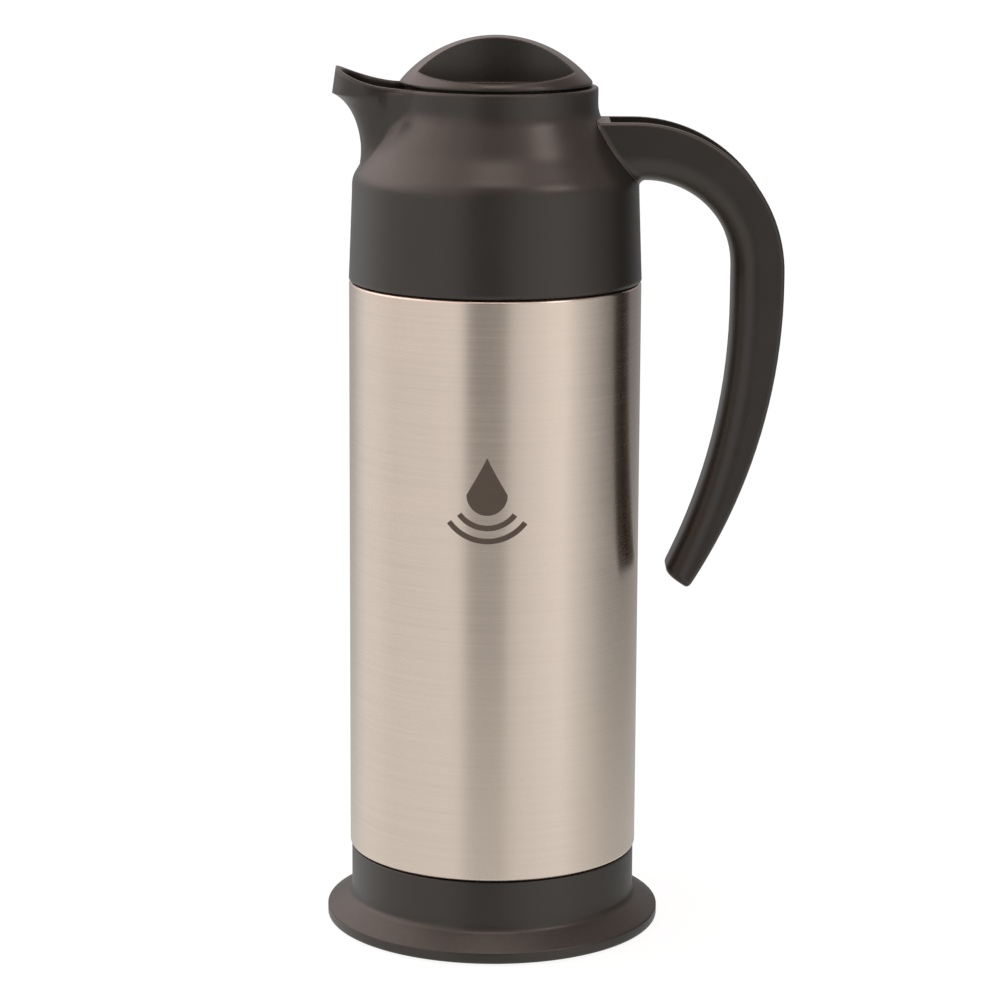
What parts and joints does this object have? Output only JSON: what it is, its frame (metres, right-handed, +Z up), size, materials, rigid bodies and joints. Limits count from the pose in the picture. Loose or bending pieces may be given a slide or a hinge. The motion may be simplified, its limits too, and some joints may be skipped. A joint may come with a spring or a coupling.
{
  "type": "vacuum creamer",
  "caption": "Slim vacuum jug for milk or cream: a double steel vessel with a black spouted collar, hook handle, flared base and a domed screw-in stopper lid.",
  "frame": {"origin": "centre of the foot ring's lower face, where the vessel's axis meets the surface it stands on", "axes": "+Z up along the vessel's axis, +X towards the handle, -X towards the spout, +Y away from the viewer of the picture"},
  "size_m": [0.1404, 0.1044, 0.2785],
  "materials": {
    "steel_outer": "satin, brushed round the body",
    "steel_inner": "satin, drawn",
    "frit_glass": "dark fused bead",
    "getter_metal": "plain stamped",
    "base_plastic": "fine satin, moulded black",
    "collar_plastic": "fine satin, moulded black",
    "lid_plastic": "fine satin, moulded black",
    "stopper_plastic": "moulded black",
    "foot_rubber": "matt black",
    "seal_rubber": "matt black",
    "silicone": "translucent pale grey silicone",
    "foam": "expanded foam",
    "screw_steel": "plain steel"
  },
  "bodies": {
    "creamer": {"outer_shell": "steel_outer", "inner_liner": "steel_inner", "shell_bottom": "steel_inner", "port_seal": "frit_glass", "getter": "getter_metal", "base_ring": "base_plastic", "base_plate": "base_plastic", "foot_ring": "foot_rubber", "collar": "collar_plastic", "handle": "collar_plastic", "handle_screws": "screw_steel", "neck_washer": "silicone", "neck_ring": "stopper_plastic"},
    "stopper_seal": {"stopper_gasket": "silicone"},
    "lid": {"lid_cap": "lid_plastic", "stopper_body": "stopper_plastic", "stopper_bottom": "stopper_plastic", "insulation_plug": "foam", "cap_seal": "seal_rubber"}
  },
  "joints": [
    {"name": "lid_rise", "type": "slide", "parent": "creamer", "child": "stopper_seal", "axis": [0, 0, 1], "range_m": [0, 0.015]},
    {"name": "lid_twist", "type": "hinge", "parent": "stopper_seal", "child": "lid", "pos_m": [0, 0, 0.2549], "axis": [0, 0, 1], "range_deg": [0, 450]}
  ],
  "couplings": [
    {"joint": "lid_rise", "follows": "lid_twist", "m_per_rad": 0.0019099}
  ]
}
